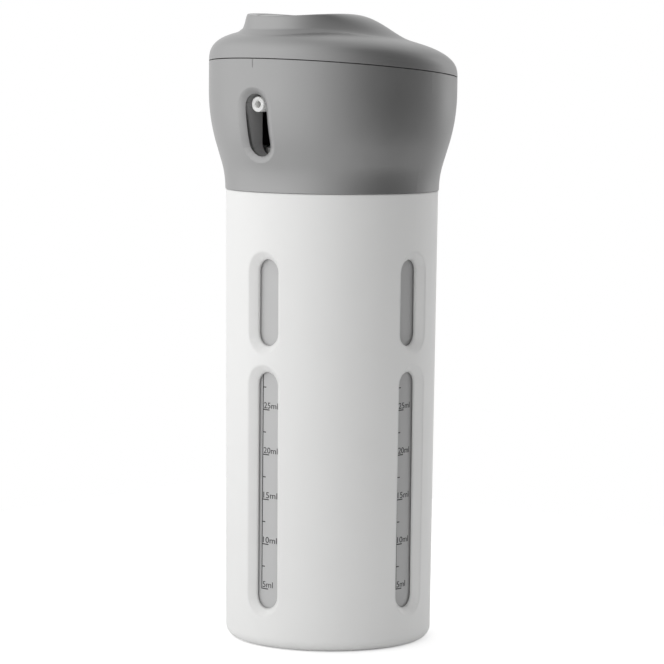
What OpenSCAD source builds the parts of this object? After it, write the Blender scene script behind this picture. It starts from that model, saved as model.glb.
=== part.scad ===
/* [Base] */
// Outer radius of the base at its top rim
base_top_r = 28.6; // [27.6:0.1:31]
// How much narrower the base is at its foot than at its rim
base_draft = 0.8; // [0.2:0.1:0.9]
// Height of the base, up to the joint line under the head
base_h = 121.5; // [119:0.5:135]
// Wall of the base at its top rim
base_wall = 2.9; // [2.7:0.1:3.3]
// Radius of the rounded bottom corner
base_corner_r = 3; // [1:0.5:4]
// Thickness of the floor that the bottles stand on
floor_t = 1.5; // [1:0.1:3]
// Depth of the hollow under the floor, inside the foot ring
foot_hollow_h = 0.5; // [0.3:0.1:1]
// Width of the flat foot ring
foot_ring_w = 5; // [3:0.5:8]

/* [Windows] */
// Width of a window where it opens on the bottle
window_w = 6.8; // [5:0.1:8]
// Width of the soft bevel round a window
window_bevel_w = 2; // [1:0.1:3]
// Width of the soft bevel at a window's two ends
window_bevel_end = 2; // [1:0.1:3]
// Depth of the soft bevel round a window
window_bevel_h = 1.95; // [0.6:0.05:2]
// Height of the long window's lower end above the table
window_low_z = 10.5; // [9:0.1:14]
// Length of the long lower window
window_long_l = 63.4; // [50:0.1:68]
// Wall left between the long window and the short one
window_bridge = 6.9; // [6.5:0.1:9]
// Length of the short upper window
window_short_l = 23.1; // [15:0.1:25]

/* [Bottles] */
// Clearance between a bottle and the bore of the base
bottle_fit = 0.4; // [0.2:0.05:0.5]
// Gap between a bottle's flat side and the plane midway to the next one
bottle_half_gap = 0.4; // [0.3:0.05:0.8]
// Wall of a bottle
bottle_wall = 1; // [0.8:0.1:1.6]
// Floor of a bottle
bottle_floor_t = 1.5; // [1:0.1:2.5]
// Rounding of a bottle's upright corners
bottle_corner_r = 3; // [2:0.25:4]
// Height of a bottle's neck above its shoulder
neck_h = 16; // [14:0.5:18]
// Wall of a bottle's neck
neck_wall = 1.6; // [1.2:0.1:1.8]

/* [Pump] */
// Travel of a pump
stroke = 7; // [5:0.5:8]
// Height of a closure's top above the base's rim
closure_rise = 11.5; // [11:0.25:14]
// Height of a closure
closure_h = 16.5; // [14:0.5:18]
// Side wall of a closure
closure_wall = 1; // [0.8:0.1:1.2]
// Top wall of a closure
closure_top_t = 1.6; // [1.2:0.1:2.2]
// Gap between two neighbouring closures, half of it
closure_half_gap = 0.9; // [0.5:0.05:1.2]
// Outer radius of a pump's housing
housing_r = 4.6; // [4.3:0.1:5]
// Wall of a pump's housing
housing_wall = 0.7; // [0.6:0.05:1]
// Outer radius of a pump's stem
stem_r = 2.25; // [2:0.05:2.3]
// Bore radius of a pump's stem
stem_bore_r = 1.1; // [0.8:0.05:1.3]
// Outer radius of a dip tube
dip_r = 1.5; // [1.3:0.05:1.7]
// Bore radius of a dip tube
dip_bore_r = 1; // [0.7:0.05:1.1]

/* [Head] */
// How far the head's lower edge stands out past the base
head_step = 0.2; // [0.1:0.1:0.8]
// How far the head flares out past the base's rim
head_flare = 4.8; // [4.5:0.1:5.5]
// Steepest lean of the flare, in degrees from upright
flare_deg = 16.7; // [15:0.1:18]
// Radius of the hollow curve at the foot of the flare
flare_low_r = 25; // [20:0.5:28]
// Radius of the round curve at the top of the flare
flare_high_r = 50; // [40:1:60]
// Wall of the head shell
head_wall = 2.2; // [1.8:0.1:2.4]
// Height of the seam under the cap above the nozzle, on the axis
seam_rise = 8.8; // [8.6:0.1:11]
// Slope of the seam, in degrees, rising towards the nozzle
seam_deg = 5.27; // [4:0.1:5.4]
// Width of the nozzle's slot
slot_w = 7.2; // [6.4:0.1:7.4]
// Room in the slot below the nozzle at its lowest
slot_room_low = 4.7; // [3.9:0.05:4.7]
// Room in the slot above the nozzle at rest
slot_room_high = 0.8; // [0.5:0.05:1]
// Width of the soft bevel at the slot's sides
slot_bevel_w = 2.1; // [1:0.1:3]
// Width of the soft bevel at the slot's two ends
slot_bevel_end = 1.8; // [1:0.1:3]
// Depth of the soft bevel round the slot
slot_bevel_h = 1.1; // [0.6:0.1:1.5]

/* [Cap] */
// Height of the cap's dome above the seam, on the axis
dome_h = 10; // [10:0.1:12]
// Height of the finger pad's rim above the seam, at its front
pad_h = 14.2; // [14:0.1:16]
// How far the pad's rim is raised at its two sides
pad_side_rise = 0.9; // [0.4:0.05:1.2]
// Half of the pad's width, from side to side
pad_half_w = 15; // [14.8:0.1:17]
// Half of the pad's length, from front to back
pad_half_l = 14.4; // [14.2:0.1:15.2]
// Wall of the cap's dome
cap_wall = 2.2; // [1.6:0.1:2.6]
// Open joint between the cap and the head shell
seam_gap = 0.25; // [0.1:0.05:0.4]

/* [Button and spout] */
// Radius of the push button
button_r = 11.2; // [10:0.1:11.5]
// Clearance round the push button
button_fit = 0.4; // [0.3:0.05:0.6]
// Radius of the finger groove across the button
groove_r = 70; // [60:1:120]
// Outer radius of the nozzle
nozzle_r = 2; // [1.9:0.05:2.3]
// Bore radius of the nozzle
nozzle_bore_r = 1; // [0.7:0.05:1.2]
// How far the nozzle's tip stays inside the head's widest radius
nozzle_inset = 2.2; // [0.5:0.1:3]

/* [Hidden] */
$fn = 96;

// Cuts run past the faces that they open by this much
over = 1;
// Radial clearance of a running fit
run_fit = 0.05;
// Gap left between pieces of two bodies that don't touch
body_gap = 0.3;
// Gap left between pieces that are seated without force
seat_gap = 0.1;

// Base: bore, rim and foot
base_bore_r = base_top_r - base_wall;
base_foot_r = base_top_r - base_draft;
foot_hollow_r = base_foot_r - base_corner_r - foot_ring_w;
floor_z = foot_hollow_h + floor_t;
window_short_z = window_low_z + window_long_l + window_bridge;

// Bottles: a quarter of a disc each, with the neck over its middle
bottle_r = base_bore_r - bottle_fit;
station_share = 0.5534;
station_r = bottle_r * station_share;
shoulder_step_h = 1.5;
shoulder_step_in = 1.2;
shoulder_cone_h = 1.6;

// Closures and necks, from the top down
closure_r = station_r / sqrt(2) - closure_half_gap;
closure_top_z = base_h + closure_rise;
closure_low_z = closure_top_z - closure_h;
thread_h = 0.7;
thread_fit = 0.1;
thread_count = 3;
thread_pitch = 3;
neck_r = closure_r - closure_wall - thread_fit - thread_h;
neck_bore_r = neck_r - neck_wall;
flange_t = 1;
gasket_t = 0.8;
flange_z = closure_top_z - closure_top_t - flange_t;
neck_top_z = flange_z - gasket_t;
bottle_top_z = neck_top_z - neck_h - shoulder_cone_h;
flute_r = 0.45;
flute_count = 28;

// Pump housing: bore, ledge, ball pocket and tube socket
housing_bore_r = housing_r - housing_wall;
housing_l = 26.4;
ledge_z = closure_top_z - closure_top_t - housing_l;
ball_r = 1.6;
pocket_r = ball_r + 0.25 * ball_r;
pocket_h = 1.3 * ball_r;
seat_bore_r = 0.75 * ball_r;
seat_z = ledge_z - pocket_h;
seat_t = 1.4;
socket_l = 5.5;
socket_wall = 1.05;
socket_z = seat_z - seat_t - socket_l;
housing_taper_h = 2.5;

// Stem and piston, at rest at the top of the stroke
stem_rise = stroke + 1.2 * flange_t;
stem_top_z = closure_top_z + stem_rise;
collar_r = 3.2;
collar_h = 1.3;
collar_z = flange_z + flange_t - seat_gap - collar_h;
piston_h = 5;
piston_z = collar_z - seat_gap - piston_h;
foot_r = 3;
foot_h = 1.6;
stem_low_z = piston_z - foot_h;
port_r = 0.5;
spring_turns = 7;
spring_wire_r = 0.35;
spring_mean_r = housing_bore_r - 2 * spring_wire_r;

// Spout and nozzle, over the stem at the front
seal_t = 0.9;
seal_r = 3.6;
spout_r = 4.5;
spout_low_z = stem_top_z + body_gap;
nozzle_lift = 3.2;
nozzle_z = spout_low_z + nozzle_lift;
spout_top_z = nozzle_z + nozzle_r + 1.65 * nozzle_r;
stub_r = 3;
stub_h = 5.6;
channel_r = 1.2;

// Head shell: the outside is a hollow curve, a straight lean and a round curve
head_low_r = base_top_r + head_step;
head_max_r = base_top_r + head_flare;
head_low_z = base_h + seat_gap;
flare_in = head_max_r - head_low_r;
flare_lean_l = (flare_in - (flare_low_r + flare_high_r) * (1 - cos(flare_deg))) / sin(flare_deg);
flare_h = (flare_low_r + flare_high_r) * sin(flare_deg) + flare_lean_l * cos(flare_deg);
seam_z = nozzle_z + seam_rise;
nozzle_tip_r = head_max_r - nozzle_inset;
head_steps = 30;

// Neck ring: it plugs into the base, and the head turns on it
ring_wall = 1.7;
ring_spigot_r = base_bore_r - run_fit;
ring_bore_r = ring_spigot_r - ring_wall;
journal_r = base_bore_r + 1.1 * head_step + 0.32 * base_wall;
ring_low_z = base_h - 5 * flange_t;
ring_lip_in = 0.7;
ring_lip_r = journal_r + ring_lip_in;
ring_lip_h = 1.6;
ring_lip_z = base_h + 3 * ring_lip_h;
ring_top_z = ring_lip_z + ring_lip_h;
lug_w = 4;
lug_h = 2;
lug_r = journal_r - 0.15 * base_wall;
notch_r = 0.8;
nose_r = 0.6;

// Ledges inside the head shell
rest_in = 1.5;
rest_r = ring_lip_r - rest_in;
rest_z = ring_top_z + seat_gap;
rest_h = 1.9;
tunnel_wall = 1.4;
tunnel_gap = 2;
tunnel_in_r = station_r + closure_r + tunnel_gap;
slot_high_z = nozzle_z + nozzle_r + slot_room_high;
slot_low_z = nozzle_z - stroke - nozzle_r - slot_room_low;
mark_w = 0.35;
mark_h = 2.2;
mark_t = 0.1;

// Guide frame inside the head
frame_t = 1.6;
frame_z = nozzle_z + 0.5 * flange_t;
frame_r = head_r(frame_z) - head_wall - seat_gap;
shelf_h = 2;
shelf_in = 1.7;
guide_wall = 1.5;
guide_fit = 0.1;
post_r = 4.6;
guide_bore_r = post_r + guide_fit;
guide_r = guide_bore_r + guide_wall;
keyhole_fit = 0.3;

// Cap: dome, finger pad and lip
pad_y = -station_r;
pad_z = seam_z + pad_h;
dome_power = 2.7;
dome_root = 0.352;
dome_lean_share = 0.066;
// Where the pad's wall and the hollow foot under it start and end, in and out of the wall's middle
wall_front_shares = [-0.052, 0.021];
wall_back_shares = [-0.09, 0.99];
foot_front_shares = [-0.042, 0.14];
foot_back_shares = [-0.09, 1.16];
// The pad's height is shared between its wall and the foot
wall_height_share = 0.75;
// The wall and the foot lengthen between these sines of the azimuth, the foot a little later
lengthen_sines = [-0.8, 0.65];
wall_power = 1.55;
foot_power = 1.8;
hole_r = button_r + button_fit;
pad_edge_r = 0.5;
wall_rim_in = 1.3;
lip_h = 2.6;
lip_t = 1.35;
collar_t = 1.5;
cap_sides = 72;

// Button: groove, skirt, flange and post
button_flange_h = 1.2;
button_top_t = 2.4;
button_skirt_t = 1.4;
button_edge_r = 0.6;
button_side_z = pad_z + pad_rise(button_r);
button_flange_z = frame_z + frame_t + guide_tube_h() + 0.65 * stroke;
cap_collar_z = button_flange_z + button_flange_h + body_gap;
button_floor_z = pad_z - button_top_t;
button_spring_turns = 7;
button_wire_r = 0.45;
button_spring_r = guide_r + 1.6;

// Height of the guide tube, kept clear of the button's underside when it is pressed
function guide_tube_h() = pad_z - button_top_t - stroke - frame_z - frame_t - 2.2 * flange_t;

// How high the pad's rim stands above its front at a distance to the side
function pad_rise(x) = pad_side_rise * (x / pad_half_w) * (x / pad_half_w);

// Outer radius of the base at a height
function base_r(z) = base_foot_r + base_draft * (z - base_corner_r) / (base_h - base_corner_r);

// Outer radius of the head at a height
function head_r(z) =
    let (h = z - head_low_z,
        low_h = flare_low_r * sin(flare_deg),
        high_h = flare_h - flare_high_r * sin(flare_deg),
        from_top = flare_h - h)
    h <= 0 ? head_low_r
    : h < low_h ? head_low_r + flare_low_r - sqrt(flare_low_r * flare_low_r - h * h)
    : h < high_h ? head_low_r + flare_low_r * (1 - cos(flare_deg)) + (h - low_h) * tan(flare_deg)
    : h < flare_h ? head_max_r - flare_high_r + sqrt(flare_high_r * flare_high_r - from_top * from_top)
    : head_max_r;

// Points up one side of the head, moved in by a wall, between two heights
function head_side(z0, z1, wall) =
    [for (i = [0 : head_steps]) let (z = z0 + (z1 - z0) * i / head_steps) [head_r(z) - wall, z]];

// A smooth step from 0 to 1
function smooth(a, b, x) = let (t = max(0, min(1, (x - a) / (b - a)))) t * t * (3 - 2 * t);

// Height of the seam plane
function seam_at(y) = seam_z - y * tan(seam_deg);

// Height of the cap's dome, as a share of the way in from the rim
function dome_at(x, y) =
    let (share = min(1, norm([x, y]) / head_max_r))
    seam_at(y) + dome_h * (1 - dome_lean_share * y / head_max_r)
        * pow(1 - pow(share, dome_power), dome_root);

// Distance from the pad's centre to the middle of its wall, along an azimuth
function pad_wall_t(a) =
    pad_half_w * pad_half_l / norm([pad_half_l * cos(a), pad_half_w * sin(a)]);

// How much of the pad's height is left at a distance past its wall: steep in front, a long ramp behind
function pad_share(u, a) =
    let (way = smooth(lengthen_sines[0], lengthen_sines[1], sin(a)),
        wall = between(wall_front_shares, wall_back_shares, pow(way, wall_power)) * pad_half_l,
        foot = between(foot_front_shares, foot_back_shares, pow(way, foot_power)) * pad_half_l)
    wall_height_share * (1 - smooth(wall[0], wall[1], u))
        + (1 - wall_height_share) * (1 - smooth(foot[0], foot[1], u));
function between(from, to, share) = from + (to - from) * share;

// Distance from a point on the pad's axis to a circle round the head's axis, along an azimuth
function ray_to(r, a) = let (c = pad_y * sin(a)) sqrt(c * c + r * r - pad_y * pad_y) - c;

// Point of the cap's top surface at a distance from the pad's centre, along an azimuth
function cap_point(t, a) =
    let (x = t * cos(a), y = pad_y + t * sin(a),
        base = dome_at(x, y),
        keep = pad_share(t - pad_wall_t(a), a))
    [x, y, base + (pad_z + pad_rise(x) - base) * keep];

// Point on the cap's rounded rim, at a share of the dome's height
function rim_point(h_share, a) =
    let (p = cap_flat(ray_to(rim_start_r(), a), a),
        way = atan2(p.y, p.x),
        r = rim_r(h_share))
    [r * cos(way), r * sin(way), dome_at(r * cos(way), r * sin(way))];
function rim_r(h_share) =
    head_max_r * pow(1 - pow(h_share, 1 / dome_root), 1 / dome_power);
rim_start_share = 0.5;
function rim_start_r() = rim_r(rim_start_share);

// Point on the flat at a distance from the pad's centre, along an azimuth
function cap_flat(t, a) = [t * cos(a), pad_y + t * sin(a)];

// Point at a radius from the head's axis, on the same ray
function axis_ring(r, a) =
    let (p = cap_flat(ray_to(rim_start_r(), a), a), way = atan2(p.y, p.x))
    [r * cos(way), r * sin(way)];
function lifted(p, z) = [p.x, p.y, z];

// Closed skin through rings of points that run round and come back to the first ring
module ring_skin(rings) {
    n = len(rings);
    m = len(rings[0]);
    polyhedron(
        points = [for (ring = rings) each ring],
        faces = [for (i = [0 : n - 1]) for (j = [0 : m - 1])
            let (i2 = (i + 1) % n, j2 = (j + 1) % m,
                a = i * m + j, b = i2 * m + j, c = i2 * m + j2, d = i * m + j2)
            each [[a, c, b], [a, d, c]]],
        convexity = 6);
}

// Helical spring with round wire, standing on z = 0
module coil(mean_r, wire_r, length, turns) {
    per_turn = 10;
    sides = 6;
    count = turns * per_turn;
    points = [for (i = [0 : count]) for (s = [0 : sides - 1])
        let (turn = 360 * i / per_turn,
            a = 360 * s / sides,
            r = mean_r + wire_r * cos(a),
            z = wire_r + (length - 2 * wire_r) * i / count + wire_r * sin(a))
        [r * cos(turn), r * sin(turn), z]];
    walls = [for (i = [0 : count - 1]) for (s = [0 : sides - 1])
        let (s2 = (s + 1) % sides,
            a = i * sides + s, b = i * sides + s2, c = (i + 1) * sides + s2, d = (i + 1) * sides + s)
        each [[a, b, c], [a, c, d]]];
    first = [for (s = [1 : sides - 2]) [0, s + 1, s]];
    last = [for (s = [1 : sides - 2]) let (e = count * sides) [e, e + s, e + s + 1]];
    polyhedron(points = points, faces = concat(walls, first, last), convexity = 8);
}

// A ring or a tube between two heights
module tube(r_out, r_in, z0, z1) {
    translate([0, 0, z0]) difference() {
        cylinder(r = r_out, h = z1 - z0);
        translate([0, 0, -over]) cylinder(r = r_in, h = z1 - z0 + 2 * over);
    }
}
module rod(r, z0, z1) {
    translate([0, 0, z0]) cylinder(r = r, h = z1 - z0);
}

// Places a piece at one of the four stations: 1 is in front, under the nozzle
module station(k) {
    rotate([0, 0, 90 * (k - 1)]) children();
}
module pump_axis(k) {
    station(k) translate([0, -station_r, 0]) children();
}

// Quarter of a disc with rounded corners, lying between the front and the left
module sector(r, gap, corner) {
    c_in = gap + corner;
    c_out = sqrt((r - corner) * (r - corner) - c_in * c_in);
    rotate(-135) {
        intersection() {
            circle(r = r);
            polygon([[0, 0], [2 * c_in, 2 * c_out], [2 * r, 2 * r], [2 * c_out, 2 * c_in]]);
            translate([c_in, c_in]) square(2 * r);
        }
        translate([gap, c_in]) square([corner, c_out - c_in]);
        translate([c_in, gap]) square([c_out - c_in, corner]);
        for (p = [[c_in, c_in], [c_in, c_out], [c_out, c_in]]) translate(p) circle(r = corner);
    }
}

// Each end of a slot's outline is an arc of this many steps
arc_steps = 10;
// The straight sides of the nozzle's slot bend with the flare, in this many steps
flare_side_steps = 6;

// Depth of a soft bevel, as a share, at a share of the way out from the opening: a crease, then a roll
function bevel_share(t, crease_share) =
    crease_share * (1 - t) + (1 - crease_share) * pow(1 - t, bevel_power);
bevel_power = 2.2;
window_crease_share = 0.9;
slot_crease_share = 0.5;
// The bevel starts this far outside the surface, so that the cut is clean
bevel_lift = 0.02;

// Outline of an upright slot, grown by one size at its sides and another at its ends
function slot_ring(half_w, z0, z1, side, end, side_steps) =
    let (wide = half_w + side, tall = half_w + end, low = z0 + half_w, high = z1 - half_w)
    concat(
        [for (i = [0 : arc_steps]) let (a = 180 * i / arc_steps) [wide * cos(a), high + tall * sin(a)]],
        [for (i = [1 : 1 : side_steps - 1]) [-wide, high + (low - high) * i / side_steps]],
        [for (i = [0 : arc_steps]) let (a = 180 * i / arc_steps) [-wide * cos(a), low - tall * sin(a)]],
        [for (i = [1 : 1 : side_steps - 1]) [wide, low + (high - low) * i / side_steps]]
    );

// Cutter for an upright slot in front, with a soft bevel that follows a round surface
module soft_slot(half_w, z0, z1, side, end, deep, crease_share, y_in, radius, side_steps = 1) {
    shares = [0, 0.2, 0.4, 0.6, 0.8, 1];
    m = 2 * (arc_steps + side_steps);
    rings = concat(
        [[for (p = slot_ring(half_w, z0, z1, 0, 0, side_steps)) [p.x, y_in, p.y]]],
        [for (t = shares) [for (p = slot_ring(half_w, z0, z1, t * side, t * end, side_steps))
            let (r = radius(p.y), drop = deep * bevel_share(t, crease_share) - bevel_lift)
            [p.x, drop - sqrt(r * r - p.x * p.x), p.y]]],
        [[for (p = slot_ring(half_w, z0, z1, side, end, side_steps)) [p.x, -radius(z1) - over, p.y]]]
    );
    n = len(rings);
    walls = [for (i = [0 : n - 2]) for (j = [0 : m - 1])
        let (j2 = (j + 1) % m, a = i * m + j, b = i * m + j2, c = (i + 1) * m + j2, d = (i + 1) * m + j)
        each [[a, c, b], [a, d, c]]];
    inner = [[for (j = [0 : m - 1]) j]];
    outer = [[for (j = [0 : m - 1]) n * m - 1 - j]];
    polyhedron(points = [for (ring = rings) each ring], faces = concat(walls, inner, outer), convexity = 6);
}

module base_shell() {
    color("white") difference() {
        rotate_extrude() difference() {
            union() {
                polygon([[0, 0], [base_foot_r - base_corner_r, 0], [base_foot_r, base_corner_r],
                    [base_top_r, base_h], [0, base_h]]);
                intersection() {
                    translate([base_foot_r - base_corner_r, base_corner_r]) circle(r = base_corner_r);
                    square([base_foot_r, base_corner_r]);
                }
            }
            translate([0, floor_z]) square([base_bore_r, base_h]);
            translate([0, -over]) square([foot_hollow_r, foot_hollow_h + over]);
        }
        for (k = [1 : 4]) station(k) {
            window(window_low_z, window_low_z + window_long_l);
            window(window_short_z, window_short_z + window_short_l);
        }
        for (k = [1 : 4]) rotate([0, 0, 90 * k - 45])
            lug(lug_r + seat_gap, lug_w + 2 * seat_gap, lug_h + seat_gap);
    }
}

// One window's cutter, in front
module window(z0, z1) {
    soft_slot(window_w / 2, z0, z1, window_bevel_w, window_bevel_end, window_bevel_h,
        window_crease_share, -base_bore_r / 2, function(z) base_r(z));
}

// A key under the ring's journal, and the notch for it in the base's rim
module lug(r, w, h) {
    intersection() {
        translate([-w / 2, -r, base_h - h]) cube([w, r - ring_bore_r - ring_wall / 2, h]);
        rod(r, base_h - h, base_h);
    }
}

module bottle(k) {
    low = floor_z;
    body_h = bottle_top_z - shoulder_step_h - low;
    color("silver", 0.6) station(k) difference() {
        union() {
            translate([0, 0, low]) linear_extrude(height = body_h)
                sector(bottle_r, bottle_half_gap, bottle_corner_r);
            translate([0, 0, low + body_h]) linear_extrude(height = shoulder_step_h)
                sector(bottle_r - shoulder_step_in, bottle_half_gap + shoulder_step_in,
                    bottle_corner_r - shoulder_step_in);
            translate([0, -station_r, bottle_top_z])
                cylinder(r1 = neck_r + shoulder_cone_h, r2 = neck_r, h = shoulder_cone_h);
            translate([0, -station_r]) rod(neck_r, bottle_top_z, neck_top_z);
            for (i = [0 : thread_count - 1]) translate([0, -station_r, neck_top_z - thread_pitch * (i + 1)])
                rotate_extrude() translate([neck_r, 0]) intersection() {
                    circle(r = thread_h);
                    translate([-thread_h / 2, -thread_h]) square([2 * thread_h, 2 * thread_h]);
                }
        }
        translate([0, 0, low + bottle_floor_t])
            linear_extrude(height = body_h - bottle_floor_t - shoulder_step_h)
            sector(bottle_r - bottle_wall, bottle_half_gap + bottle_wall, bottle_corner_r - bottle_wall);
        translate([0, -station_r]) rod(neck_bore_r, low + body_h / 2, neck_top_z + over);
    }
}

module closure(k) {
    color("whitesmoke") pump_axis(k) difference() {
        translate([0, 0, closure_low_z]) linear_extrude(height = closure_h) difference() {
            circle(r = closure_r);
            for (i = [1 : flute_count]) rotate(360 * i / flute_count)
                translate([closure_r + flute_r / 2, 0]) circle(r = flute_r, $fn = 24);
        }
        rod(closure_r - closure_wall, closure_low_z - over, flange_z + flange_t);
        rod(stem_r + run_fit, flange_z, closure_top_z + over);
    }
}

module neck_gasket(k) {
    color("gainsboro") pump_axis(k) tube(neck_r, neck_bore_r, neck_top_z, flange_z);
}

module pump_housing(k) {
    color("ivory") pump_axis(k) rotate_extrude() difference() {
        polygon([
            [0, socket_z], [dip_r + socket_wall, socket_z],
            [dip_r + socket_wall, seat_z - seat_t], [housing_r, seat_z - seat_t + housing_taper_h],
            [housing_r, flange_z], [neck_r, flange_z], [neck_r, flange_z + flange_t],
            [0, flange_z + flange_t]]);
        translate([0, ledge_z]) square([housing_bore_r, housing_l + over]);
        translate([0, seat_z]) square([pocket_r, pocket_h + over]);
        translate([0, seat_z - seat_t - over]) square([seat_bore_r, seat_t + 2 * over]);
        translate([0, socket_z - over]) square([dip_r + run_fit, socket_l + over]);
    }
}

module pump_stem(k) {
    color("white") pump_axis(k) difference() {
        union() {
            rod(stem_r, stem_low_z, stem_top_z);
            rod(collar_r, collar_z, collar_z + collar_h);
            rod(foot_r, stem_low_z, stem_low_z + foot_h);
        }
        rod(stem_bore_r, stem_low_z + foot_h / 2, stem_top_z + over);
        translate([0, 0, stem_low_z + foot_h / 2]) rotate([90, 0, 0])
            cylinder(r = port_r, h = 2 * foot_r + 2 * over, center = true);
    }
}

module pump_piston(k) {
    color("lightgray") pump_axis(k)
        tube(housing_bore_r - run_fit, stem_r + run_fit, piston_z, piston_z + piston_h);
}

module pump_spring(k) {
    color("lightsteelblue") pump_axis(k) translate([0, 0, ledge_z])
        coil(spring_mean_r, spring_wire_r, stem_low_z - ledge_z, spring_turns);
}

module inlet_ball(k) {
    rise = sqrt(ball_r * ball_r - seat_bore_r * seat_bore_r);
    color("silver") pump_axis(k) translate([0, 0, seat_z + rise]) sphere(r = ball_r);
}

module dip_tube(k) {
    color("white", 0.7) pump_axis(k)
        tube(dip_r, dip_bore_r, floor_z + 2 * bottle_floor_t, seat_z - seat_t);
}

module neck_ring() {
    color("dimgray") difference() {
        union() {
            tube(ring_spigot_r, ring_bore_r, ring_low_z, base_h);
            tube(journal_r, ring_bore_r, base_h, ring_lip_z);
            tube(ring_lip_r, ring_bore_r, ring_lip_z, ring_top_z);
            for (k = [1 : 4]) rotate([0, 0, 90 * k - 45]) lug(lug_r, lug_w, lug_h);
        }
        for (a = [0, 90]) translate([0, 0, ring_top_z]) rotate([90, 0, a])
            cylinder(r = notch_r, h = 2 * ring_lip_r + 2 * over, center = true);
    }
}

// Two flat steel springs on the head's ledge, each with a nose in a notch of the ring
module click_springs() {
    bar_l = 9;
    bar_w = 1.2;
    bar_t = 0.4;
    nose_l = 1;
    ledge_top = rest_z + rest_h;
    color("silver") for (side = [0, 180]) rotate([0, 0, side]) {
        translate([rest_r - seat_gap, -bar_l / 2, ledge_top]) cube([bar_w, bar_l, bar_t]);
        translate([rest_r - body_gap - nose_l, -nose_r, ring_top_z])
            cube([nose_l, 2 * nose_r, ledge_top + bar_t - ring_top_z]);
        translate([rest_r - body_gap - nose_l, -nose_r, ledge_top])
            cube([nose_l + body_gap, 2 * nose_r, bar_t]);
        translate([rest_r - body_gap - nose_l, 0, ring_top_z + run_fit]) rotate([0, 90, 0])
            cylinder(r = nose_r, h = nose_l);
    }
}

module head_shell() {
    top_z = seam_at(-head_max_r) + over;
    bead_top_z = ring_lip_z - seat_gap;
    rest_top_z = rest_z + rest_h;
    color("gray") difference() {
        union() {
            // The flared wall, with the bearing, the groove for the ring's lip and the rest above it
            rotate_extrude() difference() {
                polygon(concat([[0, head_low_z]], head_side(head_low_z, head_low_z + flare_h, 0),
                    [[head_max_r, top_z], [0, top_z]]));
                polygon(concat([[0, rest_top_z]],
                    head_side(rest_top_z, head_low_z + flare_h, head_wall),
                    [[head_max_r - head_wall, top_z + over], [0, top_z + over]]));
                translate([0, head_low_z - over])
                    square([journal_r + run_fit, bead_top_z - head_low_z + over]);
                translate([0, bead_top_z - over])
                    square([ring_lip_r + body_gap / 2, rest_z - bead_top_z + over]);
                translate([0, rest_z - over]) square([rest_r, rest_h + 2 * over]);
            }
            // The shelf that the guide frame stands on
            rotate_extrude() translate([frame_r - shelf_in, frame_z - shelf_h])
                square([shelf_in + head_wall / 2, shelf_h]);
            // The walls of the slot, carried inwards
            intersection() {
                slot_block(slot_w / 2 + tunnel_wall, slot_low_z - tunnel_wall, slot_high_z + tunnel_wall);
                rotate_extrude() polygon(concat([[0, head_low_z]],
                    head_side(head_low_z, head_low_z + flare_h, head_wall / 2),
                    [[head_max_r - head_wall / 2, top_z], [0, top_z]]));
            }
        }
        soft_slot(slot_w / 2, slot_low_z, slot_high_z, slot_bevel_w, slot_bevel_end, slot_bevel_h,
            slot_crease_share, over - tunnel_in_r, function(z) head_r(z), flare_side_steps);
        seam_cut(0);
        translate([-mark_w / 2, -head_max_r - over, seam_at(-head_max_r) - mark_h])
            cube([mark_w, over + mark_t, mark_h + over]);
    }
}

// A plain upright slot block from the tunnel's inner end outwards
module slot_block(half_w, z0, z1) {
    translate([0, -tunnel_in_r, 0]) {
        translate([-half_w, -head_max_r, z0 + half_w]) cube([2 * half_w, head_max_r, z1 - z0 - 2 * half_w]);
        for (z = [z0 + half_w, z1 - half_w])
            translate([0, 0, z]) rotate([90, 0, 0]) cylinder(r = half_w, h = head_max_r);
    }
}

// Everything above the seam plane
module seam_cut(drop) {
    wide = 3 * head_max_r;
    translate([0, 0, seam_z - drop]) rotate([-seam_deg, 0, 0])
        translate([-wide / 2, -wide / 2, 0]) cube([wide, wide, head_max_r]);
}

module cap() {
    turn = [for (j = [0 : cap_sides - 1]) 360 * j / cap_sides];
    wall_shares = [-0.75, -0.5, -0.25, 0, 0.25, 0.5];
    out_count = 12;
    rim_shares = [0.42, 0.34, 0.26, 0.18, 0.1, 0.04, 0];
    lip_r = head_max_r - head_wall - seat_gap;
    rings = concat(
        // Edge of the button's hole, then the pad's rim
        [[for (a = turn) lifted(cap_flat(hole_r, a), pad_z + pad_rise(hole_r * cos(a)) - pad_edge_r)]],
        [[for (a = turn) cap_point(hole_r + pad_edge_r, a)]],
        [for (s = [0.5, 1]) [for (a = turn)
            let (t0 = hole_r + pad_edge_r, t1 = pad_wall_t(a) - wall_rim_in)
            cap_point(t0 + (t1 - t0) * s, a)]],
        // The pad's wall, then the dome out to its rounded rim
        [for (u = wall_shares) [for (a = turn) cap_point(pad_wall_t(a) + u * wall_rim_in, a)]],
        [for (i = [1 : out_count]) [for (a = turn)
            let (t0 = pad_wall_t(a) + 0.5 * wall_rim_in, t1 = ray_to(rim_start_r(), a))
            cap_point(t0 + (t1 - t0) * pow(i / out_count, 1.5), a)]],
        [for (h = rim_shares) [for (a = turn)
            let (p = rim_point(h, a), foot = seam_at(p.y) + seam_gap)
            lifted(p, max(p.z, foot))]],
        // Underside: the seam face, the lip and the inside of the dome
        [[for (a = turn) let (p = axis_ring(lip_r, a)) lifted(p, seam_at(p.y) + seam_gap)]],
        [for (r = [lip_r, lip_r - lip_t]) [for (a = turn)
            let (p = axis_ring(r, a)) lifted(p, seam_at(p.y) - lip_h)]],
        [for (s = [0, 0.35, 0.7, 1]) [for (a = turn)
            let (p = axis_ring(lip_r - lip_t, a), q = cap_flat(hole_r + collar_t, a),
                x = p.x + (q.x - p.x) * s, y = p.y + (q.y - p.y) * s)
            [x, y, dome_at(x, y) - cap_wall]]],
        [for (r = [hole_r + collar_t, hole_r]) [for (a = turn) lifted(cap_flat(r, a), cap_collar_z)]]
    );
    color("gray") ring_skin(rings);
}

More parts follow.
